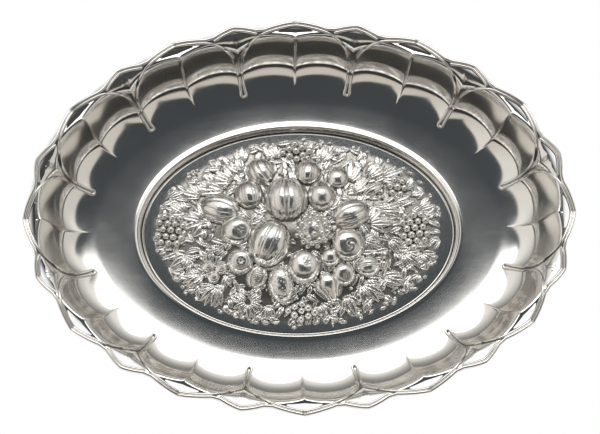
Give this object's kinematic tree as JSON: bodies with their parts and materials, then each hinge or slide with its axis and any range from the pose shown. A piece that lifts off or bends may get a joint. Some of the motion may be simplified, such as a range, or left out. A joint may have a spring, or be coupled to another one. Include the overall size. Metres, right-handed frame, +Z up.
{
  "type": "fruit bowl",
  "caption": "Shallow oval silver fruit bowl with a lobed wall, a pierced scalloped border and a fruit relief in the well.",
  "frame": {"origin": "middle of the foot ledge's footprint, on the surface the bowl stands on", "axes": "+X along the long axis of the oval, +Y along the short axis, +Z up out of the bowl"},
  "size_m": [0.3786, 0.282, 0.0482],
  "materials": {
    "shell": "polished silver with fine use scratches",
    "relief": "chased silver, softly polished, darker in the recesses",
    "wire": "bright polished silver wire"
  },
  "bodies": {
    "root": {"bowl_shell": "shell", "medallion": "relief", "rim_wire": "wire", "panel_hoop_01": "wire", "panel_hoop_02": "wire", "panel_hoop_03": "wire", "panel_hoop_04": "wire", "panel_hoop_05": "wire", "panel_hoop_06": "wire", "panel_hoop_07": "wire", "panel_hoop_08": "wire", "panel_hoop_09": "wire", "panel_hoop_10": "wire", "panel_hoop_11": "wire", "panel_hoop_12": "wire", "spandrel_reed_01": "wire", "spandrel_reed_02": "wire", "spandrel_reed_03": "wire", "spandrel_reed_04": "wire", "spandrel_reed_05": "wire", "spandrel_reed_06": "wire", "spandrel_reed_07": "wire", "spandrel_reed_08": "wire", "spandrel_reed_09": "wire", "spandrel_reed_10": "wire", "spandrel_reed_11": "wire", "spandrel_reed_12": "wire"}
  },
  "joints": []
}
